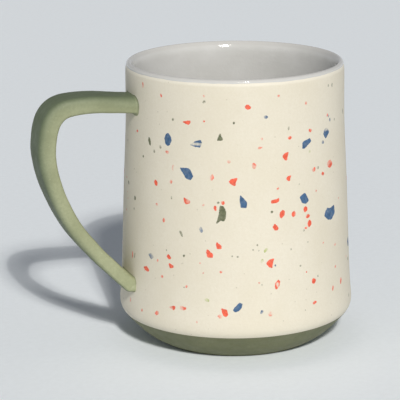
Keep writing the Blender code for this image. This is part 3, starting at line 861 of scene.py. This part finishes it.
def build_handle(material):
    """The strap, its ends let into the wall; its attribute outer, the painted shade, is 1 on the outer face.
    """
    rings = []
    for step in range(STRAP_STATIONS + 1):
        ring = []
        for i in range(STRAP_SIDES):
            point = strap_point(step, 2 * math.pi * (i + 0.5) / STRAP_SIDES)
            radius = wall_radius(point.z) - STRAP_DEPTH
            if point.xy.length < radius:
                point.xy = point.xy.normalized() * radius
            ring.append(point)
        rings.append(ring)
    piece = shown("handle_strap", ring_loft(rings, False), material, ["handle"])

    def shade_at(index):
        share = (index % STRAP_SIDES + 0.5) / STRAP_SIDES
        return outer_shade(share, index // STRAP_SIDES / STRAP_STATIONS)

    paint_outer_shade(piece, shade_at)


def joint_place(turn, upper):
    """Where the strap's surface line at a turn meets the wall, and the line's direction away from it."""
    step = 1.0 if upper else -1.0
    at = 0.0 if upper else float(STRAP_STATIONS)
    while wall_gap(strap_point(at, turn)) < 0.0:
        at += step
    inside = at - step
    for _ in range(24):
        middle = (inside + at) / 2
        if wall_gap(strap_point(middle, turn)) < 0.0:
            inside = middle
        else:
            at = middle
    point = strap_point(at, turn)
    onward = (strap_point(at + step, turn) - point).normalized()
    return point, onward


def build_fillet(name, upper, reach, material):
    """The smoothed bead of slip round one end of the strap: a concave fillet, sunk a little into both."""
    shares = [(i + 0.5) / FILLET_SIDES for i in range(FILLET_SIDES)]
    places = [joint_place(2 * math.pi * share, upper) for share in shares]
    middle = sum((place[0] for place in places), Vector()) / FILLET_SIDES
    rings = []
    for i, (point, onward) in enumerate(places):
        share = shares[i]
        round_joint = (places[(i + 1) % FILLET_SIDES][0] - places[i - 1][0]).normalized()
        outward = Vector((point.x, point.y, 0.0)).normalized()
        over_wall = round_joint.cross(outward).normalized()
        if over_wall.dot(point - middle) < 0:
            over_wall = -over_wall
        leg = reach * (1 + 0.25 * noise.noise(point * 0.35))
        if upper:
            leg *= 1 - 0.65 * ramp(0.3 - min(share, 1 - share), 0.0, 0.2)
        on_strap = point + onward * leg
        spread = point + over_wall * leg
        azimuth = math.atan2(spread.x, -spread.y)
        wall_point = on_wall(azimuth, spread.z, 0.0)
        below = round_joint.cross(onward).normalized()
        if below.dot(over_wall) > 0:
            below = -below
        ring = [on_strap + below * FILLET_SINK]
        for step in range(FILLET_STEPS + 1):
            t = step / FILLET_STEPS
            curve = on_strap * (1 - t) ** 2 + point * 2 * t * (1 - t) + wall_point * t**2
            ring.append(curve)
        ring.append(wall_point - outward * FILLET_SINK)
        ring.append(point - outward * FILLET_SINK + below * FILLET_SINK)
        rings.append(ring)
    node = "upper_slip_joint" if upper else "lower_slip_joint"
    piece = shown(name, ring_loft(rings, True), material, [node], 60.0)
    down = 0.0 if upper else 1.0
    # Painted shade on the fillet's outer side, at 0.8 of the strap's
    paint_outer_shade(piece, lambda index: 0.8 * outer_shade(shares[index // len(rings[0])], down))


# ---------------------------------------------------------------- chips


def node_outline(name):
    """A chip node's outline as (across, height) about its azimuth, and that azimuth in radians."""
    shape = merged(NODES[name])
    middle = sum((v.co for v in shape.verts), Vector()) / len(shape.verts)
    radial = Vector((middle.x, middle.y, 0.0)).normalized()
    back = [f for f in shape.faces if f.normal.dot(radial) < -0.99]
    outward = -sum((f.normal * f.calc_area() for f in back), Vector()).normalized()
    sideways = Vector((-outward.y, outward.x, 0.0))
    inside = set(back)
    rim = [e for e in shape.edges if sum(f in inside for f in e.link_faces) == 1]
    links = {}
    for edge in rim:
        a, b = edge.verts
        links.setdefault(a, []).append(b)
        links.setdefault(b, []).append(a)
    path = [next(iter(links))]
    while len(path) < len(links):
        path.append([v for v in links[path[-1]] if v not in path][0])
    outline = [(v.co.dot(sideways), v.co.z) for v in path]
    azimuth = math.atan2(outward.x, -outward.y)
    shape.free()
    return outline, azimuth


def anticlockwise(outline):
    """The outline as vectors, run anticlockwise."""
    points = [Vector(p) for p in outline]
    area = sum(a.x * b.y - b.x * a.y for a, b in zip(points, points[1:] + points[:1]))
    return points if area > 0 else points[::-1]


def torn(outline, seed, spread, ragged):
    """The outline with rounded corners, grown by spread, and a finely ragged edge."""
    points = anticlockwise(outline)
    cut = []
    for a, b in zip(points, points[1:] + points[:1]):
        cut.extend((a.lerp(b, 0.12), a.lerp(b, 0.88)))
    points = cut
    fine = []
    for a, b in zip(points, points[1:] + points[:1]):
        steps = max(1, round((b - a).length / 0.16))
        fine.extend(a.lerp(b, step / steps) for step in range(steps))
    ragged_points = []
    for i, point in enumerate(fine):
        along = (fine[(i + 1) % len(fine)] - fine[i - 1]).normalized()
        where = Vector((point.x * 1.6, point.y * 1.6, seed * 7.3))
        shove = spread + ragged * (noise.noise(where) + 0.5 * noise.noise(where * 2.7))
        ragged_points.append(point + Vector((along.y, -along.x)) * shove)
    return ragged_points


def edge_distance(point, outline):
    """The distance from a point to the nearest side of an outline."""
    best = 1e9
    for a, b in zip(outline, outline[1:] + outline[:1]):
        side = b - a
        share = min(1.0, max(0.0, (point - a).dot(side) / max(1e-9, side.length_squared)))
        best = min(best, (point - a - side * share).length)
    return best


def add_inlay(shape, outline, azimuth, veil):
    """Adds one chip to a bmesh: a thin solid let into the wall, its face following the wall's curve.

    veil is a number, or a function of a point's place in the chip's own box from -1 to 1.
    """
    edge_layer = shape.verts.layers.float["edge"]
    veil_layer = shape.verts.layers.float["veil"]
    smear_layer = shape.verts.layers.float["smear"]
    low = Vector((min(p.x for p in outline), min(p.y for p in outline)))
    high = Vector((max(p.x for p in outline), max(p.y for p in outline)))
    seeds = list(outline)
    row = low.y + CHIP_GRID / 2
    odd = False
    while row < high.y:
        column = low.x + (CHIP_GRID / 2 if odd else 0.0)
        while column < high.x:
            seeds.append(Vector((column, row)))
            column += CHIP_GRID
        row += CHIP_GRID * 0.866
        odd = not odd
    rim = [(i, (i + 1) % len(outline)) for i in range(len(outline))]
    inner = [p for p in seeds[len(outline) :] if edge_distance(p, outline) > 0.15]
    points, _, faces, *_ = delaunay_2d_cdt(list(outline) + inner, rim, [], 1, 1e-5)
    middle = (low + high) / 2
    half = (high - low) / 2
    fronts = []
    backs = []
    for point in points:
        from_edge = edge_distance(point, outline)
        radius = wall_radius(point.y)
        turn = azimuth + math.asin(max(-0.9, min(0.9, point.x / radius)))
        front = shape.verts.new(on_wall(turn, point.y, CHIP_PROUD * ramp(from_edge, 0.0, 0.2) - 0.004))
        back = shape.verts.new(on_wall(turn, point.y, -CHIP_SINK))
        spot = Vector(((point.x - middle.x) / half.x, (point.y - middle.y) / half.y))
        cover = veil(spot) if callable(veil) else veil
        for vertex in (front, back):
            vertex[edge_layer] = from_edge
            vertex[veil_layer] = cover
            vertex[smear_layer] = 1.0 if 0.0 < cover < 1.0 else 0.3
        fronts.append(front)
        backs.append(back)
    borders = {}
    for face in faces:
        shape.faces.new([fronts[i] for i in face])
        shape.faces.new([backs[i] for i in reversed(face)])
        for a, b in zip(face, face[1:] + face[:1]):
            borders[(a, b)] = (b, a)
    for (a, b), twin in borders.items():
        if twin not in borders:
            shape.faces.new((fronts[b], fronts[a], backs[a], backs[b]))


def new_inlays():
    shape = bmesh.new()
    for layer in ("edge", "veil", "smear"):
        shape.verts.layers.float.new(layer)
    return shape


def swoosh(spot):
    """Pale in the middle of the chip, and dark along its top and bottom."""
    return 0.75 * ramp(1 - abs(spot.y + 0.15), 0.45, 0.85)


def ring_veil(spot):
    """Cream in the middle of the chip, as in a shell of clay."""
    return 0.85 * ramp(1 - spot.length, 0.35, 0.7)


def leaning(veil, angle):
    """A veil that grows towards one side of the chip."""
    towards = Vector((math.cos(angle), math.sin(angle)))
    return lambda spot: min(0.95, max(0.0, veil + VEIL_LEAN * spot.dot(towards)))


def fading_up(spot):
    """Cream over the chip's upper end."""
    return 0.75 * ramp(spot.y, 0.1, 0.9)


SPECIAL_VEILS = {
    "chip_blue_02": swoosh,
    "chip_blue_06": fading_up,
    "chip_coral_05": leaning(0.1, 2.4),
    "chip_coral_13": ring_veil,
    "chip_coral_08": leaning(0.25, 0.0),
    "chip_coral_17": leaning(0.2, 0.3),
    "chip_coral_19": leaning(0.2, 3.1),
    "chip_coral_24": leaning(0.3, 3.1),
    "chip_olive_02": lambda spot: 0.7 * ramp(spot.x - spot.y, 1.2, 1.8),
}


def build_chips(materials):
    """One inlay for each chip node, with its outline and place read from the node."""
    for number, name in enumerate(sorted(n for n in NODES if n.startswith("chip_"))):
        colour = name.split("_")[1]
        outline, azimuth = node_outline(name)
        shape = new_inlays()
        add_inlay(shape, torn(outline, number, CHIP_SPREAD, 0.1), azimuth, SPECIAL_VEILS.get(name, 0.0))
        shown(name.replace("chip_", "inlay_"), shape, materials[colour], [name])


def crumb(width, length, tilt, height, draw):
    """An irregular little outline of a size, turned by a tilt in degrees, at a height on the wall."""
    corners = draw.choice((5, 6, 6, 7))
    turn = Matrix.Rotation(math.radians(tilt), 2)
    outline = []
    first = draw.uniform(0, 2 * math.pi)
    for i in range(corners):
        angle = first + 2 * math.pi * (i + draw.uniform(-0.28, 0.28)) / corners
        reach = draw.uniform(0.78, 1.15)
        corner = turn @ Vector((math.cos(angle) * reach * width / 2, math.sin(angle) * reach * length / 2))
        outline.append((corner.x, corner.y + height))
    return outline


def add_set_crumbs(shapes, draw):
    """The small chips from the list, set where the photo shows them."""
    for number, (colour, azimuth, height, width, length, tilt, veil) in enumerate(SMALL_CHIPS):
        raised = height + 0.4 * ramp(height, 55.0, 85.0)
        outline = crumb(width, length, tilt, raised, draw)
        cover = leaning(0.8 * veil, draw.uniform(0, 2 * math.pi))
        spread = 0.06 if colour == "coral" else 0.14
        add_inlay(shapes[colour], torn(outline, 100 + number, spread, 0.07), math.radians(azimuth), cover)


def is_taken(azimuth, height, taken):
    """Whether a place on the wall is too near to one that is taken."""
    across, up = FAR_CRUMB_GAP
    for other, level in taken:
        apart = abs((other - azimuth + 180) % 360 - 180) * 0.75
        if apart < across and abs(level - height) < up:
            return True
    return False


def add_far_crumbs(shapes, draw):
    """Seeded small chips on the far side, clear of the solid chips, each other and the handle's ends."""
    taken = []
    for name in sorted(n for n in NODES if n.startswith("chip_")):
        low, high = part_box(name)
        centre = (low + high) / 2 / MM
        taken.append((math.degrees(math.atan2(centre.x, -centre.y)), centre.z))
    number = 0
    while number < FAR_CRUMBS:
        azimuth = draw.uniform(52.0, 276.0)
        height = draw.uniform(14.5, 100.5)
        size = draw.choice((0.8, 1.0, 1.2, 1.5, 1.8, 2.1))
        colour = draw.choice(("coral", "coral", "coral", "coral", "olive", "olive", "blue"))
        veil = draw.choice((0.0, 0.1, 0.1, 0.2, 0.45, 0.6, 0.75))
        outline = crumb(size, size * draw.uniform(0.7, 1.5), draw.uniform(-60, 60), height, draw)
        handle_end = abs(azimuth - 270) < 15 and (height > 84 or height < 34)
        if handle_end or is_taken(azimuth, height, taken):
            continue
        taken.append((azimuth, height))
        cover = leaning(veil, draw.uniform(0, 2 * math.pi))
        add_inlay(shapes[colour], torn(outline, 300 + number, 0.05, 0.07), math.radians(azimuth), cover)
        number += 1


def add_dust(shapes, draw):
    """The finest grains of coloured clay, all round the wall."""
    for number in range(DUST_GRAINS):
        azimuth = draw.uniform(0.0, 360.0)
        height = draw.uniform(13.5, 101.0)
        size = draw.choice((0.35, 0.4, 0.5, 0.55, 0.65))
        colour = draw.choice(("olive", "olive", "olive", "blue", "coral", "coral"))
        outline = crumb(size, size * draw.uniform(0.8, 1.4), 0.0, height, draw)
        veil = draw.choice((0.25, 0.35, 0.5, 0.6, 0.75))
        add_inlay(shapes[colour], torn(outline, 500 + number, 0.02, 0.03), math.radians(azimuth), veil)


def build_small_chips(materials):
    """The chips too small to be solids, one mesh for each colour."""
    draw = random.Random(CRUMB_SEED)
    shapes = {colour: new_inlays() for colour in COLOURS}
    add_set_crumbs(shapes, draw)
    add_far_crumbs(shapes, draw)
    add_dust(shapes, draw)
    for colour in sorted(shapes):
        shown("small_chips_" + colour, shapes[colour], materials[colour], [])


# ---------------------------------------------------------------- stage


def build_camera():
    """A camera beside the photo's azimuth: placed on its level distance, then pitched, yawed and rolled."""
    level = math.cos(CAMERA_PITCH)
    forward = Vector((math.sin(CAMERA_YAW) * level, math.cos(CAMERA_YAW) * level, -math.sin(CAMERA_PITCH)))
    right = Vector((math.cos(CAMERA_YAW), -math.sin(CAMERA_YAW), 0.0))
    up = right.cross(forward)
    rolled_right = right * math.cos(CAMERA_ROLL) + up * math.sin(CAMERA_ROLL)
    rolled_up = up * math.cos(CAMERA_ROLL) - right * math.sin(CAMERA_ROLL)
    place = Matrix((rolled_right, rolled_up, -forward)).transposed().to_4x4()
    place.translation = Vector((0.0, -CAMERA_DISTANCE, CAMERA_HEIGHT))
    camera = bpy.data.cameras.new("camera")
    camera.lens = CAMERA_LENS
    camera.sensor_width = 36.0
    camera.clip_start = 0.01
    camera.clip_end = 400.0
    holder = bpy.data.objects.new("camera", camera)
    holder.matrix_world = Matrix.Rotation(math.radians(PHOTO_AZIMUTH), 4, "Z") @ place
    bpy.context.scene.collection.objects.link(holder)
    bpy.context.scene.camera = holder


def build_sun(name, strength, angle):
    """A sun lamp from the key direction."""
    azimuth = math.radians(KEY_AZIMUTH)
    elevation = math.radians(KEY_ELEVATION)
    level = math.cos(elevation)
    towards = Vector((math.sin(azimuth) * level, -math.cos(azimuth) * level, math.sin(elevation)))
    lamp = bpy.data.lights.new(name, "SUN")
    lamp.energy = strength
    lamp.angle = math.radians(angle)
    lamp.color = (1.0, 0.968, 0.92)
    holder = bpy.data.objects.new(name, lamp)
    holder.rotation_mode = "QUATERNION"
    holder.rotation_quaternion = towards.to_track_quat("Z", "Y")
    bpy.context.scene.collection.objects.link(holder)


def build_world():
    """A pale studio surround: light near the horizon and dimmer overhead."""
    world = bpy.data.worlds.new("studio")
    world.use_nodes = True
    bpy.context.scene.world = world
    tree = world.node_tree
    place = tree.nodes.new("ShaderNodeTexCoord")
    split = tree.nodes.new("ShaderNodeSeparateXYZ")
    shade = tree.nodes.new("ShaderNodeValToRGB")
    tree.links.new(place.outputs["Generated"], split.inputs[0])
    tree.links.new(split.outputs["Z"], shade.inputs[0])
    tree.links.new(shade.outputs[0], tree.nodes["Background"].inputs["Color"])
    stops = shade.color_ramp.elements
    stops[0].position = 0.0
    stops[0].color = (*SKY[0][1], 1.0)
    stops[1].position = SKY[-1][0]
    stops[1].color = (*SKY[-1][1], 1.0)
    for position, colour in SKY[1:-1]:
        stops.new(position).color = (*colour, 1.0)


def build_floor(material):
    shape = bmesh.new()
    bmesh.ops.create_grid(shape, x_segments=2, y_segments=2, size=60.0)
    mesh = bpy.data.meshes.new("floor")
    shape.to_mesh(mesh)
    shape.free()
    mesh.materials.append(material)
    floor = bpy.data.objects.new("floor", mesh)
    bpy.context.scene.collection.objects.link(floor)


bpy.context.scene.view_settings.view_transform = "Standard"
build_camera()
build_world()
build_sun("key", KEY_STRENGTH, KEY_ANGLE)
build_sun("glint", GLINT_STRENGTH, GLINT_ANGLE)
build_floor(make_floor())
build_wall(make_cream())
# The base gets the sage as a shaded copy, painted shade on its downward-facing side
build_base(make_sage("base_sage_shaded", SHADED_BASE_SAGE, SHADED_BASE_SAGE_PALE))
build_glaze(make_glaze())
sage = make_sage("handle_sage", SAGE, SAGE_LIGHT)
build_handle(sage)
build_fillet("upper_slip", True, UPPER_FILLET, sage)
build_fillet("lower_slip", False, LOWER_FILLET, sage)
chip_materials = {colour: make_chip(colour + "_clay", COLOURS[colour]) for colour in COLOURS}
build_chips(chip_materials)
build_small_chips(chip_materials)
